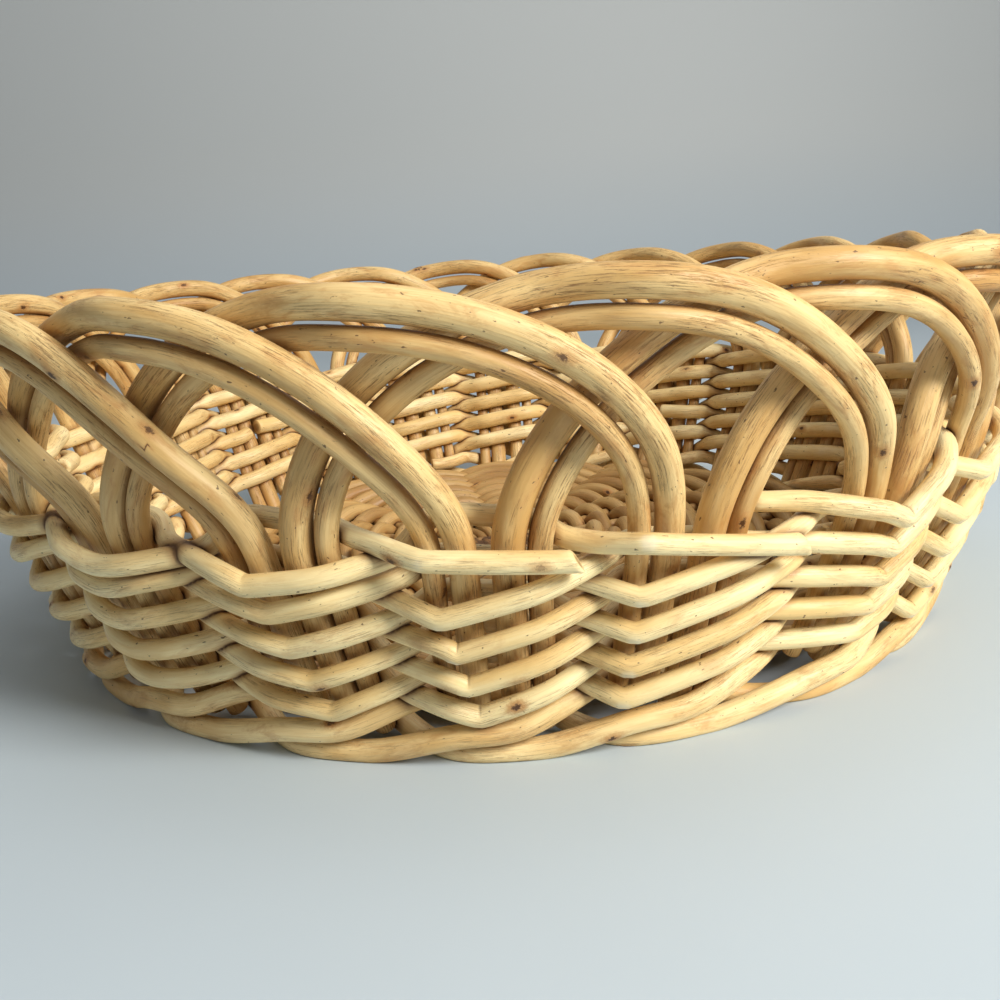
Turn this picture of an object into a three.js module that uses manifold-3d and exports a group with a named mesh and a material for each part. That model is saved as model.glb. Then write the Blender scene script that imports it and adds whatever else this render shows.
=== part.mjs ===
// A round basket of peeled rods, with an open border of overlapping arches.
// Each stake place holds a thick and a thin rod that rise side by side, lean to the right over three
// places as one arch, and come down again beside the rods that rise there. Rows of paired weavers
// twist round each group of four rods, and a wale of three thicker rods is the foot.
// Millimetres, +Z up, origin on the table under the middle of the basket, first place at -Y.
import * as THREE from "three";
import { mergeVertices } from "three/addons/utils/BufferGeometryUtils.js";
import Module from "manifold-3d";

// Counts.
const PLACE_PAIRS = 11;
const PLACES_SPANNED = 3;
const WALL_ROWS = 5;
const ARCH_STEPS = 9;
const FLOOR_ROUNDS = 16;
const STICKS_ACROSS = 5;

// The stake places behind which the first weavers of the rows start.
const TOP_ROW_START = 1;
const LOWEST_ROW_START = 5;
const ROW_START_STEP = 4;

// Rods, as diameters.
const THICK_ROD = 8.7;
const THIN_ROD = 6.4;
const WEAVER_ROD = 5;
const FOOT_ROD = 6.4;
const BASE_STICK = 4.8;
const TIP_TAPER = 0.1;

// Gaps between rods that lie against each other.
const CLEARANCE = 0.3;
const CROSSING_CLEARANCE = 0.4;
const BEND_CLEARANCE = 0.6;
const LAYER_CLEARANCE = 0.7;

// Wall: its radius at the table, and how it leans out and straightens up with height.
const BASE_RADIUS = 159;
const WALL_LEAN = 0.5255;
const WALL_CURL = 0.00164;

// Heights of the rows' middles and of the rods' lower ends. Behind a group a weaver sinks to part of
// the way from its row's middle to the lower crossing.
const LOWEST_ROW_HEIGHT = 28;
const BEHIND_SINK = 0.5;
const KINK_DROP = 9;
const TOP_ROW_GAP = 0.6;
const TOP_ROW_SLACK = 1;
const TOP_KINK_DROP = 5.9;
const TOP_END_DROP = 4.5;
const RISING_ROD_END = 4;
const LANDED_ROD_END = 12;

// How far short of the middle of a place or a gap a weaver's cut end lies.
const BUTT_SETBACK = 1.5;

// Arches: half ellipses that spring from the stakes a little below the top row's middle, drawn in by
// ARCH_LEAN halfway up.
const SPRING_DROP = 8.8;
const ARCH_HEIGHT = 65.3;
const LANDING_SLACK = 2.3;
const ARCH_LEAN = 4.5;
const LAYER_START = 8;
const LAYER_FULL = 36;
const CROSS_OVER_START = 74;
const CROSS_OVER_END = 98;

// Foot rods: flat depth where they rest, how far a stroke rises from its first group to its second,
// and how far it rises in all before it goes in.
const FOOT_FLAT = 0.5;
const FOOT_RISE = 7.4;
const FOOT_FULL_RISE = 11.4;
const FOOT_STRANDS = 3;
const FOOT_START_PLACE = 13;

// Floor: sticks crossed in a square slath, between the upper and the lower face of the weave.
const FLOOR_HEIGHT = 10.5;
const FLOOR_CREST = 4.6;
const FLOOR_TROUGH = 0.6;
const SLATH_RADIUS = 22;
const FLOOR_HOLE_RADIUS = 38;
const STICK_OVERLAP = 0.2;

// What the rods' places and bends have by hand, as distances to the right along the wall: the shift
// of a place's four rods, that of the rods that rise and that land there halfway up their arches,
// that of the top row's kink and, for each row further down, a further shift of its kink. The top
// row's kink may also lie higher. The places not listed are even.
const EVEN_PLACE = {
  nudge: 0,
  rising: ARCH_LEAN,
  landing: -ARCH_LEAN,
  kink: 0,
  kinkDrift: 0,
  topKinkRise: 0,
};
const UNEVEN_PLACES = {
  18: { nudge: -2 },
  19: { nudge: -3 },
  20: { nudge: -3, landing: -8, kink: 12, kinkDrift: -2, topKinkRise: -4 },
  21: { nudge: 2, rising: 1, landing: -7, kink: 4, kinkDrift: 3, topKinkRise: -4 },
  0: { nudge: 2, kink: -4, kinkDrift: 2.5, topKinkRise: 3 },
  1: { nudge: 1, rising: 7, landing: 2.5, kink: -4.5, topKinkRise: 3 },
  2: { nudge: 14, landing: -6, kink: 9, topKinkRise: -5 },
  3: { nudge: 11 },
  4: { nudge: 8 },
  5: { nudge: 5 },
  6: { nudge: 2 },
};

// Sides of each kind of rod's section.
const THICK_SIDES = 5;
const THIN_SIDES = 4;
const WEAVER_SIDES = 4;
const FOOT_SIDES = 5;

const STAKE_PLACES = 2 * PLACE_PAIRS;
const PLACE_ANGLE = (2 * Math.PI) / STAKE_PLACES;
const PAIR_SPACING = (THICK_ROD + THIN_ROD) / 2 + CLEARANCE;
const ROW_PITCH = 2 * (WEAVER_ROD + CROSSING_CLEARANCE);
const TOP_ROW_HEIGHT = LOWEST_ROW_HEIGHT + (WALL_ROWS - 1) * ROW_PITCH + TOP_ROW_GAP;
const SPRING_HEIGHT = TOP_ROW_HEIGHT - SPRING_DROP;
const LAYER_OFFSET = (THICK_ROD + LAYER_CLEARANCE) / 2;
const STICKS_ALONG = PLACE_PAIRS - STICKS_ACROSS;

// A group's four rods from left to right, as distances along the wall from its rising thick rod.
const LANDED_THICK = -(THICK_ROD + LANDING_SLACK);
const LANDED_THIN = LANDED_THICK - PAIR_SPACING;
const RISING_THIN = PAIR_SPACING;
const KINK = LANDED_THIN + THIN_ROD / 2;

const wasm = await Module();
wasm.setup();

const materials = {
  thick: new THREE.MeshStandardMaterial({ color: 0xcdb078, roughness: 0.5, metalness: 0 }),
  thin: new THREE.MeshStandardMaterial({ color: 0xc7a86f, roughness: 0.5, metalness: 0 }),
  weaver: new THREE.MeshStandardMaterial({ color: 0xd8c08c, roughness: 0.5, metalness: 0 }),
  foot: new THREE.MeshStandardMaterial({ color: 0xc79c62, roughness: 0.55, metalness: 0 }),
  floor: new THREE.MeshStandardMaterial({ color: 0xbd9a63, roughness: 0.6, metalness: 0 }),
};

const basket = new THREE.Group();

function addPiece(name, geometry, material) {
  const mesh = new THREE.Mesh(geometry, material);
  mesh.name = name;
  basket.add(mesh);
}

// The wall's middle surface, on which the rods of a group stand.

function wallRadius(height) {
  return BASE_RADIUS + WALL_LEAN * height - WALL_CURL * height * height;
}

function wallOutward(angle, height) {
  const slope = WALL_LEAN - 2 * WALL_CURL * height;
  return new THREE.Vector3(Math.sin(angle), -Math.cos(angle), -slope).normalize();
}

// A point that lies a given offset outside the middle surface.
function wallPoint(angle, height, offset) {
  const radius = wallRadius(height);
  const point = new THREE.Vector3(radius * Math.sin(angle), -radius * Math.cos(angle), height);
  return point.addScaledVector(wallOutward(angle, height), offset);
}

function traitsOf(place) {
  const number = THREE.MathUtils.euclideanModulo(place, STAKE_PLACES);
  return { ...EVEN_PLACE, ...UNEVEN_PLACES[number] };
}

// The angle that lies a distance along the wall from a stake place.
function angleBeside(place, distance, height) {
  const nudge = traitsOf(place).nudge / wallRadius(TOP_ROW_HEIGHT);
  return place * PLACE_ANGLE + nudge + distance / wallRadius(height);
}

// The middle of the gap between a place's group and the next one.
function gapAngle(place, height) {
  const left = angleBeside(place, RISING_THIN, height);
  const right = angleBeside(place + 1, LANDED_THIN, height);
  return (left + right) / 2;
}

// Rods and solids.

function directionOf(from, to) {
  return new THREE.Vector3().subVectors(to, from).normalize();
}

// A closed rod through points. It has a ring of corners at each point, the first of them on the side
// of that point's outward direction, and a flat cap at each end.
function rodGeometry(points, outwards, radii, sides) {
  const corners = [];
  points.forEach((point, index) => {
    const before = points[Math.max(index - 1, 0)];
    const after = points[Math.min(index + 1, points.length - 1)];
    const along = directionOf(before, point).add(directionOf(point, after)).normalize();
    const outward = outwards[index].clone();
    outward.addScaledVector(along, -outward.dot(along)).normalize();
    const sideways = new THREE.Vector3().crossVectors(along, outward);
    for (let side = 0; side < sides; side += 1) {
      const turn = (2 * Math.PI * side) / sides;
      const corner = point.clone();
      corner.addScaledVector(outward, radii[index] * Math.cos(turn));
      corner.addScaledVector(sideways, radii[index] * Math.sin(turn));
      corners.push(corner.x, corner.y, corner.z);
    }
  });
  const geometry = new THREE.BufferGeometry();
  geometry.setAttribute("position", new THREE.Float32BufferAttribute(corners, 3));
  geometry.setIndex(rodFaces(points.length, sides));
  return geometry;
}

function rodFaces(rings, sides) {
  const faces = [];
  for (let ring = 0; ring + 1 < rings; ring += 1) {
    for (let side = 0; side < sides; side += 1) {
      const corner = ring * sides + side;
      const next = ring * sides + ((side + 1) % sides);
      faces.push(corner, next, next + sides);
      faces.push(corner, next + sides, corner + sides);
    }
  }
  const last = (rings - 1) * sides;
  for (let side = 1; side + 1 < sides; side += 1) {
    faces.push(0, side + 1, side);
    faces.push(last, last + side, last + side + 1);
  }
  return faces;
}

// The points of a rod that follows the wall through steps of angle, height and offset.
function wallPoints(steps) {
  return steps.map((step) => wallPoint(step.angle, step.height, step.offset));
}

function wallRod(steps, radii, sides) {
  const outwards = steps.map((step) => wallOutward(step.angle, step.height));
  return rodGeometry(wallPoints(steps), outwards, radii, sides);
}

function solidOf(geometry) {
  const shape = geometry.clone();
  shape.deleteAttribute("normal");
  shape.deleteAttribute("uv");
  const merged = mergeVertices(shape);
  const vertProperties = new Float32Array(merged.attributes.position.array);
  const triVerts = new Uint32Array(merged.index.array);
  return new wasm.Manifold(new wasm.Mesh({ numProp: 3, vertProperties, triVerts }));
}

function geometryOf(solid) {
  const mesh = solid.getMesh();
  const geometry = new THREE.BufferGeometry();
  geometry.setAttribute("position", new THREE.BufferAttribute(mesh.vertProperties, 3));
  geometry.setIndex(new THREE.BufferAttribute(mesh.triVerts, 1));
  return geometry;
}

// Arch rods.

// How far an arch rod lies outside the wall's middle surface: in line with its group low down,
// inside the other arches while it rises, and outside them while it comes down.
function archOffset(turn, height) {
  const aboveSpring = height - SPRING_HEIGHT;
  const apart = THREE.MathUtils.smoothstep(aboveSpring, LAYER_START, LAYER_FULL);
  const degrees = THREE.MathUtils.radToDeg(turn);
  const side = 2 * THREE.MathUtils.smoothstep(degrees, CROSS_OVER_START, CROSS_OVER_END) - 1;
  return LAYER_OFFSET * side * apart;
}

// A straight stretch beside a stake place, without its end at the arch's spring.
function legSteps(place, distance, endHeight) {
  const halfway = (endHeight + SPRING_HEIGHT) / 2;
  return [endHeight, halfway].map((height) => {
    return { angle: angleBeside(place, distance, height), height, offset: 0 };
  });
}

// How far an arch rod is drawn to the right of a half ellipse, which is most halfway up.
function archLean(place, turn) {
  const isRising = turn < Math.PI / 2;
  const most = isRising ? traitsOf(place).rising : traitsOf(place + PLACES_SPANNED).landing;
  return most * Math.sin(2 * turn) ** 2;
}

// One arch rod: up beside its place, over to a later place, and down beside it.
function archRod(place, rod, sides) {
  const landing = place + PLACES_SPANNED;
  const startAngle = angleBeside(place, rod.rise, SPRING_HEIGHT);
  const endAngle = angleBeside(landing, rod.land, SPRING_HEIGHT);
  const steps = legSteps(place, rod.rise, RISING_ROD_END);
  for (let step = 0; step <= ARCH_STEPS; step += 1) {
    const turn = (Math.PI * step) / ARCH_STEPS;
    const height = SPRING_HEIGHT + rod.archHeight * Math.sin(turn);
    const ellipse = (startAngle + endAngle) / 2 - ((endAngle - startAngle) / 2) * Math.cos(turn);
    const angle = ellipse + archLean(place, turn) / wallRadius(height);
    steps.push({ angle, height, offset: archOffset(turn, height) });
  }
  steps.push(...legSteps(landing, rod.land, LANDED_ROD_END).reverse());
  const radii = steps.map((step, index) => {
    return (rod.diameter / 2) * (1 - (TIP_TAPER * index) / (steps.length - 1));
  });
  return wallRod(steps, radii, sides);
}

function addArches() {
  const thick = { diameter: THICK_ROD, rise: 0, land: LANDED_THICK, archHeight: ARCH_HEIGHT };
  const thin = {
    diameter: THIN_ROD,
    rise: RISING_THIN,
    land: LANDED_THIN,
    archHeight: ARCH_HEIGHT - PAIR_SPACING,
  };
  for (let place = 0; place < STAKE_PLACES; place += 1) {
    const number = String(place + 1).padStart(2, "0");
    addPiece(`thick_arch_rod_${number}`, archRod(place, thick, THICK_SIDES), materials.thick);
    addPiece(`thin_arch_rod_${number}`, archRod(place, thin, THIN_SIDES), materials.thin);
  }
}

// Paired weavers.

// Offsets at which a weaver clears the rods of a group, in front of them and behind.
function weaverOffsets(row) {
  const beside = (THICK_ROD + row.rod) / 2 + CLEARANCE + row.slack;
  return {
    kink: beside + 2 * BEND_CLEARANCE,
    front: beside + BEND_CLEARANCE,
    behind: -beside,
  };
}

// The way of a weaver past the front of a group: down from a gap to its kink, and up to the next
// gap. A kink to the right of the group's first rod comes after a point that clears that rod. The
// last stroke of a weaver that ends in front sinks a little and stays outside.
function frontSteps(row, place, isLast) {
  const offsets = weaverOffsets(row);
  const traits = traitsOf(place);
  const shift = traits.kink + traits.kinkDrift * (WALL_ROWS - 1 - row.number);
  const kinkHeight = row.kink + (row.isTop ? traits.topKinkRise : 0);
  const kinkAngle = angleBeside(place, KINK + shift, kinkHeight);
  const gapBefore = gapAngle(place - 1, row.under);
  const gapAfter = gapAngle(place, row.over);
  const firstRod = angleBeside(place, KINK, kinkHeight);
  const lastRod = angleBeside(place, RISING_THIN, kinkHeight);
  const end = gapAfter - BUTT_SETBACK / wallRadius(kinkHeight);
  const steps = [{ angle: gapBefore, height: row.under, offset: 0 }];
  if (shift > 0) {
    const height = heightBetween(firstRod, gapBefore, row.under, kinkAngle, kinkHeight);
    steps.push({ angle: firstRod, height, offset: offsets.kink });
  }
  steps.push({ angle: kinkAngle, height: kinkHeight, offset: offsets.kink });
  if (isLast) {
    steps.push({ angle: end, height: kinkHeight - TOP_END_DROP, offset: offsets.kink });
  } else {
    const height = heightBetween(lastRod, kinkAngle, kinkHeight, gapAfter, row.over);
    steps.push({ angle: lastRod, height, offset: offsets.front });
    steps.push({ angle: gapAfter, height: row.over, offset: 0 });
  }
  return steps;
}

// The height at an angle on a straight stretch from one angle and height to another.
function heightBetween(angle, startAngle, startHeight, endAngle, endHeight) {
  const share = (angle - startAngle) / (endAngle - startAngle);
  return THREE.MathUtils.lerp(startHeight, endHeight, share);
}

// The way of one weaver of a pair. It starts behind the first group and goes once round, behind one
// group and in front of the next. In each gap one weaver of the pair goes in above the other coming
// out.
function weaverSteps(row, firstPlace) {
  const behind = weaverOffsets(row).behind;
  const lastPlace = firstPlace + STAKE_PLACES;
  const steps = [];
  const add = (angle, height, offset) => steps.push({ angle, height, offset });
  add(angleBeside(firstPlace, BUTT_SETBACK, row.behind), row.behind, behind);
  for (let place = firstPlace; place < lastPlace; place += 2) {
    if (place > firstPlace) {
      add(angleBeside(place, LANDED_THIN, row.over), row.over, behind);
    }
    add(angleBeside(place, RISING_THIN, row.behind), row.behind, behind);
    steps.push(...frontSteps(row, place + 1, row.isTop && place + 2 === lastPlace));
  }
  if (!row.isTop) {
    add(angleBeside(lastPlace, LANDED_THIN, row.over), row.over, behind);
    add(angleBeside(lastPlace, -BUTT_SETBACK, row.over), row.over, behind);
  }
  return steps;
}

function wallRow(number) {
  const isTop = number === WALL_ROWS - 1;
  const middle = isTop ? TOP_ROW_HEIGHT : LOWEST_ROW_HEIGHT + number * ROW_PITCH;
  const halfCrossing = (WEAVER_ROD + CROSSING_CLEARANCE) / 2;
  return {
    number,
    isTop,
    over: middle + halfCrossing,
    under: middle - halfCrossing,
    behind: middle - BEHIND_SINK * halfCrossing,
    kink: middle - (isTop ? TOP_KINK_DROP : KINK_DROP),
    rod: WEAVER_ROD,
    slack: isTop ? TOP_ROW_SLACK : 0,
  };
}

// The ends of the rows are spread round the basket. The top row's two end in front, in neighbouring
// gaps, and the others behind a group.
function addWallRows() {
  for (let number = 0; number < WALL_ROWS; number += 1) {
    const row = wallRow(number);
    const place = row.isTop ? TOP_ROW_START : LOWEST_ROW_START + ROW_START_STEP * number;
    ["a", "b"].forEach((letter, index) => {
      const steps = weaverSteps(row, place + index);
      const radii = steps.map(() => row.rod / 2);
      const weaver = wallRod(steps, radii, WEAVER_SIDES);
      addPiece(`weaver_row_${number + 1}_${letter}`, weaver, materials.weaver);
    });
  }
}

// Foot.

// The height on the wall from which a rod moved out by offset lies at level z.
function heightAtLevel(z, offset) {
  const closer = z - offset * wallOutward(0, z).z;
  return z - offset * wallOutward(0, closer).z;
}

function footRow() {
  const level = (FOOT_ROD / 2) * Math.cos(Math.PI / FOOT_SIDES) - FOOT_FLAT;
  const row = { rod: FOOT_ROD, slack: 0, under: level, over: level + FOOT_FULL_RISE };
  const offsets = weaverOffsets(row);
  row.low = heightAtLevel(level, offsets.kink);
  row.high = heightAtLevel(level + FOOT_RISE, offsets.kink);
  row.behind = level + FOOT_FULL_RISE / 2 - (BEHIND_SINK * FOOT_FULL_RISE) / 2;
  return row;
}

// The way of one of the foot's three rods. It goes behind one group and in front of two, low along
// the table past the first and raised past the second, so that the next rod comes out beneath it.
function footSteps(row, firstPlace) {
  const offsets = weaverOffsets(row);
  const lastPlace = firstPlace + STAKE_PLACES - (STAKE_PLACES % FOOT_STRANDS);
  const steps = [];
  const add = (angle, height, offset) => steps.push({ angle, height, offset });
  add(angleBeside(firstPlace, BUTT_SETBACK, row.behind), row.behind, offsets.behind);
  for (let place = firstPlace; place < lastPlace; place += FOOT_STRANDS) {
    if (place > firstPlace) {
      add(angleBeside(place, LANDED_THIN, row.over), row.over, offsets.behind);
    }
    add(angleBeside(place, RISING_THIN, row.behind), row.behind, offsets.behind);
    add(gapAngle(place, row.under), row.under, 0);
    add(angleBeside(place + 1, KINK, row.low), row.low, offsets.kink);
    add(angleBeside(place + 1, RISING_THIN, row.low), row.low, offsets.kink);
    add(angleBeside(place + 2, KINK, row.high), row.high, offsets.kink);
    add(angleBeside(place + 2, RISING_THIN, row.high), row.high, offsets.kink);
    add(gapAngle(place + 2, row.over), row.over, 0);
  }
  add(angleBeside(lastPlace, LANDED_THIN, row.over), row.over, offsets.behind);
  add(angleBeside(lastPlace, -BUTT_SETBACK, row.over), row.over, offsets.behind);
  return steps;
}

// The foot rods have a flat side down, and are cut where they would reach below the table.
function addFoot() {
  const row = footRow();
  const up = new THREE.Vector3(0, 0, 1);
  const reach = 2 * BASE_RADIUS;
  const table = new THREE.BoxGeometry(2 * reach, 2 * reach, reach).translate(0, 0, -reach / 2);
  ["a", "b", "c"].forEach((letter, index) => {
    const steps = footSteps(row, FOOT_START_PLACE + index);
    const radii = steps.map(() => row.rod / 2);
    const rod = rodGeometry(wallPoints(steps), steps.map(() => up), radii, FOOT_SIDES);
    const flattened = solidOf(rod).subtract(solidOf(table));
    addPiece(`foot_rod_${letter}`, geometryOf(flattened), materials.foot);
  });
}

// Floor.

// The ends of a foot rod's straight run behind a group, turned about the basket's middle as if the
// group's place were the first.
function footRunBehind(place) {
  const row = footRow();
  const offset = weaverOffsets(row).behind;
  const left = wallPoint(angleBeside(place, LANDED_THIN, row.over), row.over, offset);
  const right = wallPoint(angleBeside(place, RISING_THIN, row.behind), row.behind, offset);
  const up = new THREE.Vector3(0, 0, 1);
  return [left, right].map((end) => end.applyAxisAngle(up, -place * PLACE_ANGLE));
}

// The radius at which the base sticks' ends meet the foot rods behind the groups.
function floorRadius() {
  const reaches = [];
  for (let place = 0; place < STAKE_PLACES; place += 1) {
    const [left, right] = footRunBehind(place);
    [-BASE_STICK / 2, BASE_STICK / 2].forEach((corner) => {
      const share = (corner - left.x) / (right.x - left.x);
      reaches.push(-new THREE.Vector3().lerpVectors(left, right, share).y);
    });
  }
  return Math.min(...reaches) - FOOT_ROD / 2 - CLEARANCE;
}

// Three points along one edge of a base stick's arm: at the side of the slath, where the sticks
// stand apart, and at the rim. Share counts the stick from the middle of its bundle, and sideways is
// the edge's distance to the left of the stick's middle line.
function armEdge(share, sideways) {
  const spread = share * PLACE_ANGLE;
  const middle = [
    new THREE.Vector2(0, share * (BASE_STICK - STICK_OVERLAP)),
    new THREE.Vector2(SLATH_RADIUS, share * (BASE_STICK - STICK_OVERLAP)),
    new THREE.Vector2(FLOOR_HOLE_RADIUS, 0).rotateAround(new THREE.Vector2(), spread),
    new THREE.Vector2(floorRadius(), 0).rotateAround(new THREE.Vector2(), spread),
  ];
  return middle.slice(1).map((point, index) => {
    const after = middle[Math.min(index + 2, middle.length - 1)];
    const along = new THREE.Vector2().subVectors(after, middle[index]).normalize();
    return point.clone().add(new THREE.Vector2(-along.y, along.x).multiplyScalar(sideways));
  });
}

// Where the lines through two pairs of points meet.
function meetingPoint(start, end, otherStart, otherEnd) {
  const along = new THREE.Vector2().subVectors(end, start);
  const other = new THREE.Vector2().subVectors(otherEnd, otherStart);
  const apart = new THREE.Vector2().subVectors(otherStart, start);
  return start.clone().addScaledVector(along, apart.cross(other) / along.cross(other));
}

// The outline of one bundle of base sticks. They lie side by side through the slath and fan out to
// the rim of the floor, one place apart.
function bundleOutline(count) {
  const half = BASE_STICK / 2;
  const outline = [];
  for (let stick = 0; stick < count; stick += 1) {
    const share = stick - (count - 1) / 2;
    const right = armEdge(share, -half);
    const left = armEdge(share, half);
    outline.push(...(stick === 0 ? right : right.slice(1)), left[2], left[1]);
    if (stick + 1 < count) {
      const next = armEdge(share + 1, -half);
      outline.push(meetingPoint(left[0], left[1], next[0], next[1]));
    } else {
      outline.push(left[0]);
    }
  }
  const opposite = outline.map((point) => point.clone().negate());
  return [...outline, ...opposite];
}

function bundleSolid(count, heading) {
  const outline = new THREE.Shape(bundleOutline(count));
  const bundle = new THREE.ExtrudeGeometry(outline, { depth: BASE_STICK, bevelEnabled: false });
  return solidOf(bundle.rotateZ(heading + PLACE_ANGLE / 2));
}

// The heights above the sticks' middle of one face of the floor's weave, in rings from its hole to
// its rim. In each round the weavers go over every other stick, and in the next round over those
// between. Side is 1 for the face above the sticks and -1 for the one below.
function floorRings(side) {
  const outer = floorRadius() - BEND_CLEARANCE;
  const width = (outer - FLOOR_HOLE_RADIUS) / FLOOR_ROUNDS;
  const near = new Array(STAKE_PLACES).fill(BASE_STICK / 2 + CLEARANCE);
  const rings = [{ radius: FLOOR_HOLE_RADIUS, heights: near }];
  for (let round = 0; round < FLOOR_ROUNDS; round += 1) {
    const heights = near.map((height, place) => {
      const isOver = (place + round) % 2 === 0;
      return height + (isOver === (side > 0) ? FLOOR_CREST : FLOOR_TROUGH);
    });
    rings.push({ radius: FLOOR_HOLE_RADIUS + width / 2 + round * width, heights });
  }
  rings.push({ radius: outer, heights: near });
  return rings;
}

// One face of the floor's weave, closed by a flat side that lies along the sticks.
function floorFace(side) {
  const rings = floorRings(side);
  const corners = [];
  rings.forEach((ring) => {
    ring.heights.forEach((height, place) => {
      const angle = place * PLACE_ANGLE;
      const z = FLOOR_HEIGHT + side * height;
      corners.push(ring.radius * Math.sin(angle), -ring.radius * Math.cos(angle), z);
    });
  });
  const faces = [];
  rings.forEach((ring, index) => {
    const next = (index + 1) % rings.length;
    for (let place = 0; place < STAKE_PLACES; place += 1) {
      const beside = (place + 1) % STAKE_PLACES;
      const [a, b] = [place, beside].map((spot) => index * STAKE_PLACES + spot);
      const [c, d] = [place, beside].map((spot) => next * STAKE_PLACES + spot);
      faces.push(...(side > 0 ? [a, c, b, b, c, d] : [a, b, c, b, d, c]));
    }
  });
  const geometry = new THREE.BufferGeometry();
  geometry.setAttribute("position", new THREE.Float32BufferAttribute(corners, 3));
  geometry.setIndex(faces);
  return geometry;
}

// The sticks of one bundle pierce those of the other, so that the slath is one piece. Each end of a
// stick meets a foot rod behind a stake place.
function addFloor() {
  const slath = geometryOf(bundleSolid(STICKS_ACROSS, 0).add(bundleSolid(STICKS_ALONG, Math.PI / 2)));
  slath.translate(0, 0, FLOOR_HEIGHT - BASE_STICK / 2);
  addPiece("base_sticks", slath, materials.floor);
  addPiece("floor_weave_upper", floorFace(1), materials.floor);
  addPiece("floor_weave_lower", floorFace(-1), materials.floor);
}

addArches();
addWallRows();
addFoot();
addFloor();

export default basket;
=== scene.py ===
# The looks of a round basket of peeled rods, whose border is a row of interlaced arches.

import math
import bpy
import numpy as np
from mathutils import Matrix, Vector, kdtree


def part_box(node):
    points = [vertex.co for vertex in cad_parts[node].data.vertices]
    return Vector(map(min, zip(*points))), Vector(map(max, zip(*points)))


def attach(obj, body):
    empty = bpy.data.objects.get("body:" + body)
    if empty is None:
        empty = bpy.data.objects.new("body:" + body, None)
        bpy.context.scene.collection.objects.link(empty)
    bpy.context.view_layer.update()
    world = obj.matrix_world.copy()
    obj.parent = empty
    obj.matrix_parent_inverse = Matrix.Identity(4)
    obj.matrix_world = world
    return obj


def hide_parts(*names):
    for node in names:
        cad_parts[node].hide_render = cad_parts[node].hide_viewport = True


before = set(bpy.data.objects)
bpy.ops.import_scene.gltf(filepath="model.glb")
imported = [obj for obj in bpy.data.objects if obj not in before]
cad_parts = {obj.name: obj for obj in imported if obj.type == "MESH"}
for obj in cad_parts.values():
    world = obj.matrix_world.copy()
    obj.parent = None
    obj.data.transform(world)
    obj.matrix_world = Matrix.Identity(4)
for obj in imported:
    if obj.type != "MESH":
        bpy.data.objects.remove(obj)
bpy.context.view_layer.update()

# Lengths are in millimetres up to the point where a mesh is made. The lights, the stage and how near and
# far the camera sees are in metres.
MM = 0.001
RANDOM_SEED = 22

# The CAD model's sizes.
PLACES = 22
PLACES_SPANNED = 3
WALL_ROWS = 5
THICK_ROD = 8.7
THIN_ROD = 6.4
WEAVER_ROD = 5.0
FOOT_ROD = 6.4
BASE_STICK = 4.8
TIP_TAPER = 0.1
CLEARANCE = 0.3
CROSSING_CLEARANCE = 0.4
BEND_CLEARANCE = 0.6
LAYER_CLEARANCE = 0.7
BASE_RADIUS = 159.0
WALL_LEAN = 0.5255
WALL_CURL = 0.00164
LOWEST_ROW_HEIGHT = 28.0
BEHIND_SINK = 0.5
KINK_DROP = 9.0
TOP_ROW_GAP = 0.6
TOP_ROW_SLACK = 1.0
TOP_KINK_DROP = 5.9
RISING_ROD_END = 4.0
LANDED_ROD_END = 12.0
BUTT_SETBACK = 1.5
SPRING_DROP = 8.8
ARCH_HEIGHT = 65.3
LANDING_SLACK = 2.3
ARCH_LEAN = 4.5
LAYER_START = 8.0
LAYER_FULL = 36.0
CROSS_OVER_START = 74.0
CROSS_OVER_END = 98.0
FOOT_FLAT = 0.5
FOOT_RISE = 7.4
FOOT_FULL_RISE = 11.4
FOOT_STRANDS = 3
FOOT_START_PLACE = 13
FOOT_SIDES = 5
FLOOR_HEIGHT = 10.5
FLOOR_CREST = 4.6
FLOOR_ROUNDS = 16
SLATH_RADIUS = 22.0
FLOOR_HOLE_RADIUS = 38.0
STICKS_ACROSS = 5
STICK_OVERLAP = 0.2
TOP_ROW_START = 1
LOWEST_ROW_START = 5
ROW_START_STEP = 4

PLACE_ANGLE = 2 * math.pi / PLACES
PAIR_SPACING = (THICK_ROD + THIN_ROD) / 2 + CLEARANCE
ROW_PITCH = 2 * (WEAVER_ROD + CROSSING_CLEARANCE)
TOP_ROW_HEIGHT = LOWEST_ROW_HEIGHT + (WALL_ROWS - 1) * ROW_PITCH + TOP_ROW_GAP
SPRING_HEIGHT = TOP_ROW_HEIGHT - SPRING_DROP
LAYER_OFFSET = (THICK_ROD + LAYER_CLEARANCE) / 2
STICKS_ALONG = PLACES // 2 - STICKS_ACROSS
LANDED_THICK = -(THICK_ROD + LANDING_SLACK)
LANDED_THIN = LANDED_THICK - PAIR_SPACING
RISING_THIN = PAIR_SPACING
KINK = LANDED_THIN + THIN_ROD / 2

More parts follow.
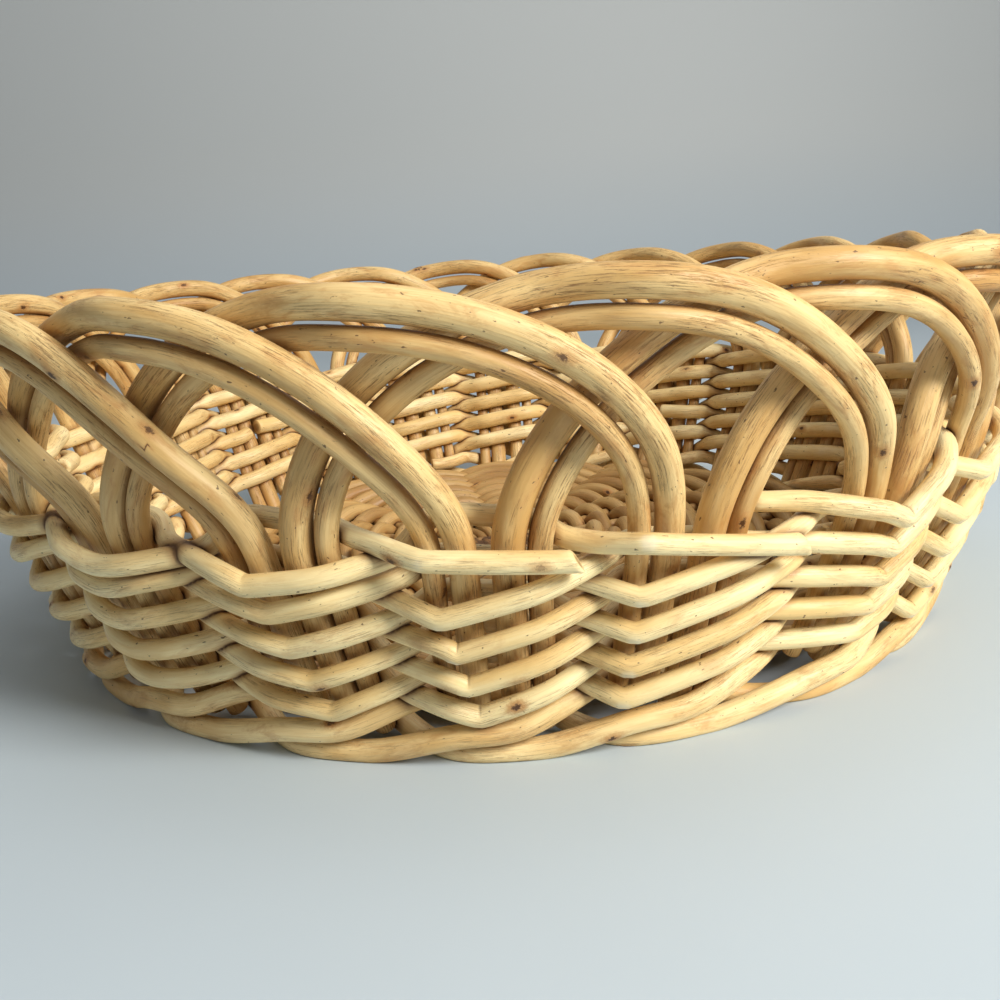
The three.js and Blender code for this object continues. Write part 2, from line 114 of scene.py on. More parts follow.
# What the rods' places are given one by one, as in the CAD model: distances to the right along the wall, how
# much further right the kink lies with each row further down, and how much higher the top row's lies.
EVEN_PLACE = {
    "nudge": 0.0,
    "rising": ARCH_LEAN,
    "landing": -ARCH_LEAN,
    "kink": 0.0,
    "kink_drift": 0.0,
    "top_kink_rise": 0.0,
}
UNEVEN_PLACES = {
    18: {"nudge": -2},
    19: {"nudge": -3},
    20: {"nudge": -3, "landing": -8, "kink": 12, "kink_drift": -2, "top_kink_rise": -4},
    21: {"nudge": 2, "rising": 1, "landing": -7, "kink": 4, "kink_drift": 3, "top_kink_rise": -4},
    0: {"nudge": 2, "kink": -4, "kink_drift": 2.5, "top_kink_rise": 3},
    1: {"nudge": 1, "rising": 7, "landing": 2.5, "kink": -4.5, "top_kink_rise": 3},
    2: {"nudge": 14, "landing": -6, "kink": 9, "top_kink_rise": -5},
    3: {"nudge": 11},
    4: {"nudge": 8},
    5: {"nudge": 5},
    6: {"nudge": 2},
}

# What the weavers' bends are given one by one beyond the CAD model. A drop lowers the point where a weaver
# comes out before a place's kink, a rise lifts the kink, a rise drift lifts it more with each row further
# down, and a low end lowers the point where the weaver goes in after the kink. Those that start with
# top hold for the top row, and the others for the rows below it. The softness is the kink's.
EVEN_BEND = {
    "top_drop": 0.0,
    "drop": 0.0,
    "top_rise": 0.0,
    "rise": 0.0,
    "rise_drift": 0.0,
    "top_low_end": 0.0,
    "low_end": 0.0,
    "softness": 0.9,
}
UNEVEN_BENDS = {
    16: {"top_rise": 2.4, "rise": 4.0, "softness": 4.5},
    17: {"top_rise": 2.4, "rise": 4.0, "softness": 4.5},
    18: {"top_rise": 2.4, "rise": 4.0, "top_low_end": 5.4, "softness": 4.5},
    19: {"top_rise": 2.4, "rise": 3.0, "top_low_end": 5.4, "softness": 4.5},
    20: {"top_rise": 1.0, "rise": 3.0, "top_low_end": 9.0, "low_end": 3.0, "softness": 4.5},
    21: {"top_drop": 3.0, "drop": 1.5, "rise": 1.7, "top_low_end": 9.0, "low_end": 4.5},
    0: {"top_drop": -0.5, "drop": 3.0, "low_end": 2.5},
    1: {"top_drop": 2.8, "drop": 2.6, "rise": 1.8},
    2: {"drop": 0.5, "rise": -1.4, "rise_drift": 1.6},
}

# How far the top row's two ends sink below their kinks, by the place of the kink.
END_DROPS = {0: 3.0, 1: 8.0}

# A weaver's offsets from the wall's middle and its heights in a gap. Going in, it has made most of its
# climb by the group's last rod, lies a little outside in the middle of the gap and dives late. Coming
# out, it is low and early.
STROKE_CLIMB = 0.74
GOING_IN = 2.2
GOING_IN_DROP = 0.7
DIVE_DISTANCE = 5.5
DIVE_OFFSET = -1.4
EMERGING_DISTANCE = 6.2
EMERGING = -2.6
COMING_OUT = 1.2
COMING_OUT_DROP = 0.6

# A weaver passes a group's first rod higher where its kink lies further right, and it runs lower behind
# a group than in the CAD model. A foot rod goes in higher than it then runs on.
FIRST_ROD_RISE = 2.0
BEHIND_OVER_DROP = 2.5
BEHIND_DROP = 2.0
FOOT_GOING_IN_RISE = 6.0

# How widely rods bend: round a group, in a gap, where they come out, along a stroke, in the foot, in the
# arches and in the base sticks.
BEND_SOFTNESS = 2.6
GAP_SOFTNESS = 2.8
EMERGING_SOFTNESS = 2.2
STROKE_SOFTNESS = 4.0
FOOT_SOFTNESS = 6.0
ARCH_SOFTNESS = 4.0
STICK_SOFTNESS = 5.0

# Round rods as thick as they look, and how much thicker weavers are on the far side.
WEAVER_LOOK = 5.8
FAR_SIDE_THICKER = 0.4
FOOT_LOOK = 6.9
FLOOR_WEAVER_LOOK = 6.9
STICK_LOOK = 4.4

# Where in a turn a strand of the floor steps out to its next round, and how pointed its crests are.
STEP_UP_START = 0.8
FLOOR_CREST_POWER = 0.8

# How finely paths and rods are cut.
PATH_SPACING = 1.0
RING_SPACING = 1.5
FLOOR_RING_SPACING = 1.3 * RING_SPACING
STICK_RING_SPACING = 2 * RING_SPACING
RING_SIDES = 18
UPRIGHT_STEPS = 30
ARCH_STEPS = 90
SWAY_STEPS = 100
FLOOR_STEPS_PER_PLACE = 12

# Cut ends: their rounding, how far their edge and middle stand out as shares of it, how far the top
# row's ends slant back for their height, and over how many radii times that slant they give way to it.
END_ROUNDING = 0.35
END_EDGE_OUT = 0.7
END_MIDDLE_OUT = 0.9
CUT_SLOPE = 0.7
CUT_RUN = 4

# Natural unevenness: how far arches sway and over what share of their length, how much of its radius
# each kind of rod swells by and over what length, how oval a rod is and how its oval turns, and the
# rates and the sum of the waves that a swing is made of.
ARCH_SWAY = 0.7
SWAY_WAVE = 0.7
SWELLING = {
    "thick": (0.03, 150.0),
    "thin": (0.03, 150.0),
    "weaver": (0.06, 170.0),
    "foot": (0.03, 200.0),
    "floor": (0.03, 150.0),
    "stick": (0.03, 120.0),
}
OVAL = 0.012
OVAL_TWIST = 2.0
OVAL_WAVE = 160.0
WAVE_RATES = (1.0, 1.9, 3.1)
WAVE_SUM = 1.6

# Knots, and how near another rod has to be for the warm tan and painted shade drawn near it.
KNOT_SPACING = {"thick": 30.0, "thin": 32.0, "weaver": 46.0, "foot": 40.0, "floor": 70.0}
KNOT_FROM_END = 2.0
KNOT_STRENGTHS = (0.35, 1.0)
KNOT_HEIGHT = 0.32
KNOT_LENGTH = 2.2
KNOT_WIDTH = 1.5
KNOT_REACH = 4.5
KNOT_FAR_AWAY = (9.0, 9.0, 0.0)
CONTACT_REACH = 4.0

# How far apart two rods' wood may lie in the noises that colour it.
WOOD_LENGTH = 4000.0

rng = np.random.default_rng(RANDOM_SEED)


# The wall's middle surface.

def wall_radius(height):
    return BASE_RADIUS + WALL_LEAN * height - WALL_CURL * height ** 2


def wall_outward(angle, height):
    slope = WALL_LEAN - 2 * WALL_CURL * height
    outward = np.stack([np.sin(angle), -np.cos(angle), -slope * np.ones_like(angle)], axis=-1)
    return outward / np.linalg.norm(outward, axis=-1, keepdims=True)


def wall_point(angle, height, offset):
    radius = wall_radius(height)
    middle = np.stack([radius * np.sin(angle), -radius * np.cos(angle), height], axis=-1)
    return middle + offset[..., None] * wall_outward(angle, height)


def traits_of(place):
    return {**EVEN_PLACE, **UNEVEN_PLACES.get(place % PLACES, {})}


def bends_of(place):
    return {**EVEN_BEND, **UNEVEN_BENDS.get(place % PLACES, {})}


def angle_beside(place, distance, height):
    """The angle at a distance to the right of a place, along the wall at a height."""
    nudge = traits_of(place)["nudge"] / wall_radius(TOP_ROW_HEIGHT)
    return place * PLACE_ANGLE + nudge + distance / wall_radius(height)


def gap_angle(place, height):
    """The middle of the gap to the right of a place's group of rods."""
    left = angle_beside(place, RISING_THIN, height)
    right = angle_beside(place + 1, LANDED_THIN, height)
    return (left + right) / 2


def smoothstep(value, low, high):
    share = np.clip((value - low) / (high - low), 0, 1)
    return share * share * (3 - 2 * share)


# Paths.

def lengths_along(points):
    steps = np.linalg.norm(np.diff(points, axis=0), axis=1)
    return np.concatenate([[0], np.cumsum(steps)])


def spread_evenly(points, spacing, *values):
    """The points and their values again, at even steps of about the spacing along the path."""
    along = lengths_along(points)
    count = max(int(round(along[-1] / spacing)), 2)
    even = np.linspace(0, along[-1], count + 1)

    def resampled(column):
        if column.ndim == 1:
            return np.interp(even, along, column)
        return np.stack([np.interp(even, along, part) for part in column.T], axis=1)

    return [resampled(points)] + [resampled(value) for value in values]


def soften(columns, along, softness):
    """Averages each column over a bell of the given width at each point, so that corners bend."""
    apart = along[:, None] - along[None, :]
    weight = np.exp(-0.5 * (apart / softness[:, None]) ** 2)
    weight /= weight.sum(axis=1, keepdims=True)
    return weight @ columns


def uneven(along, amount, wavelength):
    """A slow random swing along a rod, made of three waves."""
    swing = np.zeros_like(along)
    for rate in WAVE_RATES:
        phase = rng.uniform(0, 2 * math.pi)
        swing += np.sin(2 * math.pi * along * rate / wavelength + phase) / rate
    return amount * swing / WAVE_SUM


def swelling(kind, diameter, along):
    amount, wavelength = SWELLING[kind]
    return uneven(along, amount * diameter / 2, wavelength)


def wall_path(steps, softness):
    """Points and their angles, heights and offsets, along steps of these on the wall."""
    softness = np.broadcast_to(softness, len(steps))
    rough = wall_point(*steps.T)
    _, dense, soft = spread_evenly(rough, PATH_SPACING, steps, softness)
    dense = soften(dense, lengths_along(wall_point(*dense.T)), soft)
    return spread_evenly(wall_point(*dense.T), RING_SPACING, dense)


def straight_up(points):
    """The upward direction, once for each point."""
    return np.tile([0.0, 0.0, 1.0], (len(points), 1))


class Rod:
    """A rod's middle line, its thickness and what the material needs to know about it.

    The outwards direction at each point is where its rings start. No vertex goes below the lowest
    height, where one is given.
    """

    def __init__(self, name, points, outwards, radii, finish, cad_node, slot):
        self.name = name
        self.points = points
        self.outwards = outwards
        self.radii = radii
        self.finish = finish
        self.cad_node = cad_node
        self.slot = slot
        self.tint = rng.uniform(-1, 1)
        self.wood_start = rng.uniform(0, WOOD_LENGTH)
        self.lowest = None
        self.slanted_end = False


# Arches.

def arch_offset(turn, height):
    """Inside the wall's middle as an arch rises and outside it as it comes down."""
    apart = smoothstep(height - SPRING_HEIGHT, LAYER_START, LAYER_FULL)
    side = 2 * smoothstep(np.degrees(turn), CROSS_OVER_START, CROSS_OVER_END) - 1
    return LAYER_OFFSET * side * apart


def arch_lean(place, turn):
    rising = traits_of(place)["rising"]
    landing = traits_of(place + PLACES_SPANNED)["landing"]
    return np.where(turn < math.pi / 2, rising, landing) * np.sin(2 * turn) ** 2


def arch_steps(place, rise, land, arch_height):
    """Steps of an arch rod: up through the rows, over the arch and down through the rows again."""
    landing = place + PLACES_SPANNED
    start = angle_beside(place, rise, SPRING_HEIGHT)
    end = angle_beside(landing, land, SPRING_HEIGHT)
    up = np.linspace(RISING_ROD_END, SPRING_HEIGHT, UPRIGHT_STEPS)[:-1]
    turn = np.linspace(0, math.pi, ARCH_STEPS)
    down = np.linspace(SPRING_HEIGHT, LANDED_ROD_END, UPRIGHT_STEPS)[1:]
    arch_z = SPRING_HEIGHT + arch_height * np.sin(turn)
    over = (start + end) / 2 - (end - start) / 2 * np.cos(turn)
    over = over + arch_lean(place, turn) / wall_radius(arch_z)
    angle = np.concatenate([angle_beside(place, rise, up), over, angle_beside(landing, land, down)])
    height = np.concatenate([up, arch_z, down])
    offset = np.concatenate([0 * up, arch_offset(turn, arch_z), 0 * down])
    return np.stack([angle, height, offset], axis=1)


def arch_rods():
    kinds = (
        ("thick", THICK_ROD, 0.0, LANDED_THICK, ARCH_HEIGHT),
        ("thin", THIN_ROD, RISING_THIN, LANDED_THIN, ARCH_HEIGHT - PAIR_SPACING),
    )
    share = np.linspace(0, 1, SWAY_STEPS)
    made = []
    for place in range(PLACES):
        sway = uneven(share, ARCH_SWAY, SWAY_WAVE)
        for kind, diameter, rise, land, arch_height in kinds:
            points, dense = wall_path(arch_steps(place, rise, land, arch_height), ARCH_SOFTNESS)
            along = lengths_along(points)
            free = smoothstep(dense[:, 1] - SPRING_HEIGHT, LAYER_START, LAYER_FULL)
            points[:, 2] += free * np.interp(along / along[-1], share, sway)
            radii = diameter / 2 * (1 - TIP_TAPER * along / along[-1])
            radii = radii + swelling(kind, diameter, along)
            outwards = wall_outward(dense[:, 0], dense[:, 1])
            name = f"{kind}_arch_rod_{place + 1:02d}"
            made.append(Rod(f"{name}.round", points, outwards, radii, kind, name, f"{kind}_rod"))
    return made


# Weavers.

def weaver_offsets(row):
    """A weaver's offsets at its kink, along the front of a group and behind it."""
    beside = (THICK_ROD + row["rod"]) / 2 + CLEARANCE + row["slack"]
    return beside + 2 * BEND_CLEARANCE, beside + BEND_CLEARANCE, -beside


def height_between(angle, start_angle, start_height, end_angle, end_height):
    share = (angle - start_angle) / (end_angle - start_angle)
    return start_height + share * (end_height - start_height)


def front_heights(row, place):
    """Heights at which a weaver comes out before a group, kinks and goes in after it."""
    bends = bends_of(place)
    coming_out = row["under"] - COMING_OUT_DROP
    going_in = row["over"] - GOING_IN_DROP
    if row["is_top"]:
        kink = row["kink"] + traits_of(place)["top_kink_rise"] + bends["top_rise"]
        return coming_out - bends["top_drop"], kink, going_in - bends["top_low_end"]
    kink = row["kink"] + bends["rise"] + bends["rise_drift"] * row["rows_down"]
    return coming_out - bends["drop"], kink, going_in - bends["low_end"]


def front_steps(row, place, is_last):
    """Steps and softness of a weaver's way past the front of a group: gap, kink, stroke, next gap."""
    kink_offset, front_offset, _ = weaver_offsets(row)
    coming_out, kink, going_in = front_heights(row, place)
    traits = traits_of(place)
    shift = traits["kink"] + traits["kink_drift"] * row["rows_down"]
    kink_angle = angle_beside(place, KINK + shift, kink)
    gap_before = gap_angle(place - 1, row["under"])
    gap_after = gap_angle(place, row["over"])
    emerging = angle_beside(place - 1, RISING_THIN + EMERGING_DISTANCE, row["under"])
    steps = [(emerging, coming_out, EMERGING, EMERGING_SOFTNESS)]
    steps.append((gap_before, coming_out, COMING_OUT, BEND_SOFTNESS))
    if shift > 0:
        first_rod = angle_beside(place, KINK, kink)
        height = height_between(first_rod, gap_before, coming_out, kink_angle, kink)
        steps.append((first_rod, height + FIRST_ROD_RISE, kink_offset, BEND_SOFTNESS))
    steps.append((kink_angle, kink, kink_offset, bends_of(place)["softness"]))
    if is_last:
        end = gap_after - BUTT_SETBACK / wall_radius(kink)
        steps.append((end, kink - END_DROPS[place % PLACES], kink_offset, BEND_SOFTNESS))
    else:
        last_rod = angle_beside(place, RISING_THIN, kink)
        height = kink + STROKE_CLIMB * (going_in - kink)
        dive = gap_after + DIVE_DISTANCE / wall_radius(row["over"])
        steps.append((last_rod, height, front_offset, STROKE_SOFTNESS))
        steps.append((gap_after, going_in, GOING_IN, GAP_SOFTNESS))
        steps.append((dive, going_in, DIVE_OFFSET, GAP_SOFTNESS))
    return steps


def weaver_steps(row, first_place):
    """Steps of one weaver of a pair, and how softly it bends at each."""
    over, behind = row["over"], row["behind"]
    behind_offset = weaver_offsets(row)[2]
    last_place = first_place + PLACES
    steps = []

    def add_behind(place, distance, height):
        steps.append((angle_beside(place, distance, height), height, behind_offset, BEND_SOFTNESS))

    add_behind(first_place, BUTT_SETBACK, behind)
    for place in range(first_place, last_place, 2):
        if place > first_place:
            add_behind(place, LANDED_THIN, over - BEHIND_OVER_DROP)
        add_behind(place, RISING_THIN, behind - BEHIND_DROP)
        steps += front_steps(row, place + 1, row["is_top"] and place + 2 == last_place)
    if not row["is_top"]:
        add_behind(last_place, LANDED_THIN, over - BEHIND_OVER_DROP)
        add_behind(last_place, -BUTT_SETBACK, over - BEHIND_OVER_DROP)
    return np.array(steps)


def wall_row(number):
    """The heights of a row, counted from the lowest, and what makes the top row different."""
    is_top = number == WALL_ROWS - 1
    middle = TOP_ROW_HEIGHT if is_top else LOWEST_ROW_HEIGHT + number * ROW_PITCH
    half_crossing = (WEAVER_ROD + CROSSING_CLEARANCE) / 2
    return {
        "rows_down": WALL_ROWS - 1 - number,
        "is_top": is_top,
        "over": middle + half_crossing,
        "under": middle - half_crossing,
        "behind": middle - BEHIND_SINK * half_crossing,
        "kink": middle - (TOP_KINK_DROP if is_top else KINK_DROP),
        "rod": WEAVER_ROD,
        "slack": TOP_ROW_SLACK if is_top else 0.0,
    }


def wall_rods():
    made = []
    for number in range(WALL_ROWS):
        row = wall_row(number)
        first = TOP_ROW_START if row["is_top"] else LOWEST_ROW_START + ROW_START_STEP * number
        for index, letter in enumerate("ab"):
            steps = weaver_steps(row, first + index)
            points, dense = wall_path(steps[:, :3], steps[:, 3])
            far = (1 - np.cos(dense[:, 0])) / 2
            radii = WEAVER_LOOK / 2 * (1 + FAR_SIDE_THICKER * far)
            radii = radii + swelling("weaver", WEAVER_LOOK, lengths_along(points))
            outwards = wall_outward(dense[:, 0], dense[:, 1])
            name = f"weaver_row_{number + 1}_{letter}"
            rod = Rod(f"{name}.round", points, outwards, radii, "weaver", name, "weaver")
            rod.slanted_end = row["is_top"]
            made.append(rod)
    return made


# Foot.

def height_at_level(level, offset):
    """The height on the wall's middle from which a point at the offset lies at the level."""
    closer = level - offset * wall_outward(0.0, level)[2]
    return level - offset * wall_outward(0.0, closer)[2]


def foot_row():
    level = FOOT_ROD / 2 * math.cos(math.pi / FOOT_SIDES) - FOOT_FLAT
    row = {"rod": FOOT_ROD, "slack": 0.0, "under": level, "over": level + FOOT_FULL_RISE}
    kink_offset = weaver_offsets(row)[0]
    row["low"] = height_at_level(level, kink_offset)
    row["high"] = height_at_level(level + FOOT_RISE, kink_offset)
    row["behind"] = level + FOOT_FULL_RISE / 2 - BEHIND_SINK * FOOT_FULL_RISE / 2
    return row


def foot_steps(row, first_place):
    """Steps of one of the wale's rods: in front of two groups and behind the third."""
    kink_offset, _, behind_offset = weaver_offsets(row)
    last_place = first_place + PLACES - PLACES % FOOT_STRANDS
    over, under, behind, low, high = (row[key] for key in ("over", "under", "behind", "low", "high"))
    steps = [(angle_beside(first_place, BUTT_SETBACK, behind), behind, behind_offset)]
    for place in range(first_place, last_place, FOOT_STRANDS):
        if place > first_place:
            steps.append((angle_beside(place, LANDED_THIN, over), over, behind_offset))
        steps.append((angle_beside(place, RISING_THIN, behind), behind, behind_offset))
        steps.append((gap_angle(place, under), under, 0.0))
        steps.append((angle_beside(place + 1, KINK, low), low, kink_offset))
        steps.append((angle_beside(place + 1, RISING_THIN, low), low, kink_offset))
        steps.append((angle_beside(place + 2, KINK, high), high, kink_offset))
        steps.append((angle_beside(place + 2, 0.0, high), high, kink_offset))
        steps.append((gap_angle(place + 2, over), over + FOOT_GOING_IN_RISE, GOING_IN))
    steps.append((angle_beside(last_place, LANDED_THIN, over), over, behind_offset))
    steps.append((angle_beside(last_place, -BUTT_SETBACK, over), over, behind_offset))
    return np.array(steps)


def foot_rods():
    row = foot_row()
    made = []
    for index, letter in enumerate("abc"):
        points, _ = wall_path(foot_steps(row, FOOT_START_PLACE + index), FOOT_SOFTNESS)
        radii = FOOT_LOOK / 2 + swelling("foot", FOOT_LOOK, lengths_along(points))
        name = f"foot_rod_{letter}"
        rod = Rod(f"{name}.round", points, straight_up(points), radii, "foot", name, "foot_rod")
        rod.lowest = 0.0
        made.append(rod)
    return made


# Floor.

def floor_reach():
    """How far the floor's weave reaches from the basket's middle, in the CAD model."""
    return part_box("floor_weave_upper")[1][1] / MM


def stick_reach():
    """How far the base sticks reach, of which one lies straight along the frame's y axis."""
    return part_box("base_sticks")[1][1] / MM


def floor_weaver_path(first_round):
    """Points of a strand that goes round in every second round, over every other stick."""
    width = (floor_reach() - FLOOR_HOLE_RADIUS) / FLOOR_ROUNDS
    lift = BASE_STICK / 2 + CLEARANCE + FLOOR_CREST - FLOOR_WEAVER_LOOK / 2
    turns = FLOOR_ROUNDS // 2
    turn = np.linspace(0, turns, turns * PLACES * FLOOR_STEPS_PER_PLACE)[:-1]
    climb = np.floor(turn) + smoothstep(turn % 1, STEP_UP_START, 1)
    climb = np.minimum(climb, turns - 1)
    radius = FLOOR_HOLE_RADIUS + width * (first_round + 0.5 + 2 * climb)
    angle = 2 * math.pi * turn
    side = 1 if first_round == 0 else -1
    swing = side * np.cos(PLACES / 2 * angle)
    height = FLOOR_HEIGHT + lift * np.sign(swing) * np.abs(swing) ** FLOOR_CREST_POWER
    return np.stack([radius * np.sin(angle), -radius * np.cos(angle), height], axis=1)


def floor_weavers():
    """Two strands wind outwards together, each over the sticks that the other goes under."""
    made = []
    for index, (letter, node) in enumerate((("a", "floor_weave_upper"), ("b", "floor_weave_lower"))):
        points = spread_evenly(floor_weaver_path(index), FLOOR_RING_SPACING)[0]
        radii = FLOOR_WEAVER_LOOK / 2 + swelling("floor", FLOOR_WEAVER_LOOK, lengths_along(points))
        made.append(Rod(f"floor_weaver_{letter}", points, straight_up(points), radii, "floor", node, "base"))
    return made


def stick_points(share, heading, level):
    """The middle line of a base stick: straight through the slath and fanned out to the rim."""
    sideways = share * (BASE_STICK - STICK_OVERLAP)
    spread = share * PLACE_ANGLE
    arm = [
        (stick_reach() * math.cos(spread), stick_reach() * math.sin(spread)),
        (FLOOR_HOLE_RADIUS * math.cos(spread), FLOOR_HOLE_RADIUS * math.sin(spread)),
        (SLATH_RADIUS, sideways),
    ]
    flat = [(-x, y) for x, y in arm] + arm[::-1]
    cos, sin = math.cos(heading), math.sin(heading)
    return np.array([(cos * x - sin * y, sin * x + cos * y, level) for x, y in flat])


def base_sticks():
    bundles = ((STICKS_ACROSS, 0.0, "across"), (STICKS_ALONG, math.pi / 2, "along"))
    made = []
    for count, heading, word in bundles:
        for stick in range(count):
            share = stick - (count - 1) / 2
            rough = stick_points(share, heading + PLACE_ANGLE / 2, FLOOR_HEIGHT)
            points = spread_evenly(rough, STICK_RING_SPACING)[0]
            along = lengths_along(points)
            points = soften(points, along, np.full(len(along), STICK_SOFTNESS))
            radii = STICK_LOOK / 2 + swelling("stick", STICK_LOOK, along)
            name = f"base_stick_{word}_{stick + 1}"
            made.append(Rod(name, points, straight_up(points), radii, "floor", "base_sticks", "base"))
    return made


# Rods into meshes.

def ring_frames(rod):
    """Tangent, outward and sideways directions at each point of a rod."""
    ahead = np.gradient(rod.points, axis=0)
    ahead /= np.linalg.norm(ahead, axis=1, keepdims=True)
    outward = rod.outwards - (rod.outwards * ahead).sum(axis=1, keepdims=True) * ahead
    outward /= np.linalg.norm(outward, axis=1, keepdims=True)
    return ahead, outward, np.cross(ahead, outward)


def scatter_knots(length, spacing):
    """Positions along and around a rod, and strengths, of its knots."""
    count = max(int(rng.poisson(length / spacing)), 1)
    along = np.sort(rng.uniform(KNOT_FROM_END, length - KNOT_FROM_END, count))
    around = rng.uniform(0, 2 * math.pi, count)
    strength = rng.uniform(*KNOT_STRENGTHS, count)
    return along, around, strength


def nearest_knot(along, turn, radius, knots):
    """Distances to the knot nearest to each vertex, and its strength, which is 0 beyond its reach."""
    knot_along, knot_around, strength = knots
    past = along[..., None] - knot_along
    turned = (turn[..., None] - knot_around + math.pi) % (2 * math.pi) - math.pi
    beside = turned * radius[..., None]
    which = np.argmin(past ** 2 + beside ** 2, axis=-1)[..., None]
    past = np.take_along_axis(past, which, axis=-1)[..., 0]
    beside = np.take_along_axis(beside, which, axis=-1)[..., 0]
    near = np.hypot(past, beside) < KNOT_REACH
    return past, beside, np.where(near, strength[which[..., 0]], 0.0)


def slant_end(rings, ahead, along, radius, turn):
    """Cuts the end of a rod off at a slant, by drawing back its upper side."""
    above_lower_side = 1 - np.sin(turn)
    cut = CUT_SLOPE * radius[-1] * above_lower_side[-1]
    run = CUT_RUN * CUT_SLOPE * radius[-1].max()
    share = np.clip(1 - (along[-1] - along) / run, 0, 1)
    return rings - (share[:, None] * cut[None])[..., None] * ahead[:, None]


def shape_rings(rod):
    """Rings of vertices round a rod, with its knots and uneven skin, and their material values."""
    ahead, outward, sideways = ring_frames(rod)
    along = lengths_along(rod.points)
    around = 2 * math.pi * np.arange(RING_SIDES) / RING_SIDES
    along_grid, turn = np.broadcast_arrays(along[:, None], around[None])
    radius = np.repeat(rod.radii[:, None], RING_SIDES, axis=1)
    knots = scatter_knots(along[-1], KNOT_SPACING[rod.finish])
    past, beside, strength = nearest_knot(along_grid, turn, radius, knots)
    swell = np.exp(-0.5 * ((past / KNOT_LENGTH) ** 2 + (beside / KNOT_WIDTH) ** 2))
    oval = np.cos(2 * turn + uneven(along, OVAL_TWIST, OVAL_WAVE)[:, None])
    radius = radius * (1 + OVAL * oval) + KNOT_HEIGHT * strength * swell
    out, aside = np.cos(turn), np.sin(turn)
    direction = out[..., None] * outward[:, None] + aside[..., None] * sideways[:, None]
    rod.rings = rod.points[:, None] + radius[..., None] * direction
    if rod.slanted_end:
        rod.rings = slant_end(rod.rings, ahead, along, radius, turn)
    if rod.lowest is not None:
        rod.rings[..., 2] = np.maximum(rod.rings[..., 2], rod.lowest)
    rod.straight = np.stack([radius * out, radius * aside, along_grid + rod.wood_start], axis=-1)
    rod.knot = np.stack([past, beside, strength], axis=-1)
    rod.bend = -(direction * np.gradient(ahead, along, axis=0)[:, None]).sum(axis=-1)


def shade_contacts(rods):
    """Keeps, for each vertex of each rod, how near it is to another rod, from 0 to 1, which the material
    turns into warm tan and painted shade.
    """
    tree = kdtree.KDTree(sum(len(rod.points) for rod in rods))
    owner = []
    for number, rod in enumerate(rods):
        for point in rod.points:
            tree.insert(point, len(owner))
            owner.append(number)
    tree.balance()
    owner = np.array(owner)
    centres = np.concatenate([rod.points for rod in rods])
    radii = np.concatenate([rod.radii for rod in rods])
    for number, rod in enumerate(rods):
        rod.contact = np.zeros(rod.rings.shape[:2])
        for ring, centre in enumerate(rod.points):
            found = tree.find_range(centre, rod.radii[ring] + THICK_ROD / 2 + CONTACT_REACH)
            near = np.array([index for _, index, _ in found])
            near = near[owner[near] != number]
            if len(near) == 0:
                continue
            apart = np.linalg.norm(rod.rings[ring][:, None] - centres[near][None], axis=2) - radii[near]
            rod.contact[ring] = np.clip(1 - apart.min(axis=1) / CONTACT_REACH, 0, 1)


def end_cap(rod, at_start):
    """The slightly rounded edge of a cut end, as an extra ring, and its middle point."""
    ring = 0 if at_start else -1
    edge = rod.rings[ring]
    centre = edge.mean(axis=0)
    outwards = rod.points[ring] - rod.points[1 if at_start else -2]
    outwards /= np.linalg.norm(outwards)
    inner = centre + (edge - centre) * (1 - END_ROUNDING / rod.radii[ring])
    return (
        inner + outwards * END_ROUNDING * END_EDGE_OUT,
        centre + outwards * END_ROUNDING * END_MIDDLE_OUT,
    )


def rod_faces(rings, sides):
    """Quads between neighbouring rings, and a fan at each end to the two vertices after the rings."""
    first = np.arange(rings - 1)[:, None] * sides
    turn = np.arange(sides)
    beside = (turn + 1) % sides
    corner, next_corner = first + turn, first + beside
    quads = np.stack([corner, next_corner, next_corner + sides, corner + sides], axis=-1)
    start = rings * sides
    last_ring = start - sides
    start_fan = np.stack([np.full(sides, start), beside, turn], axis=1)
    end_fan = np.stack([np.full(sides, start + 1), last_ring + turn, last_ring + beside], axis=1)
    return quads.reshape(-1, 4).tolist() + start_fan.tolist() + end_fan.tolist()


def with_ends(values, start, end):
    """Ring values as vertex values, with the rings and middle points of both ends added."""
    rings = np.concatenate([values[:1], values, values[-1:]])
    flat = rings.reshape(-1, *values.shape[2:])
    return np.concatenate([flat, [start], [end]])


def store_values(mesh, rod):
    """What the material reads: the rod laid straight, nearest knot, contact, bends, cut ends, tint."""
    on_middle_line = np.array([0, 0, 1])
    start, end = rod.straight[0, 0] * on_middle_line, rod.straight[-1, 0] * on_middle_line
    cut = with_ends(np.zeros(rod.rings.shape[:2]), 1.0, 1.0)
    for name, kind, values in (
        ("straight", "FLOAT_VECTOR", with_ends(rod.straight, start, end)),
        ("knot", "FLOAT_VECTOR", with_ends(rod.knot, KNOT_FAR_AWAY, KNOT_FAR_AWAY)),
        ("contact", "FLOAT", with_ends(rod.contact, 0.0, 0.0)),
        ("bend", "FLOAT", with_ends(rod.bend, 0.0, 0.0)),
        ("cut", "FLOAT", cut),
        ("tint", "FLOAT", np.full(len(cut), rod.tint)),
    ):
        layer = mesh.attributes.new(name, kind, "POINT")
        field = "vector" if kind == "FLOAT_VECTOR" else "value"
        layer.data.foreach_set(field, values.astype(np.float32).ravel())


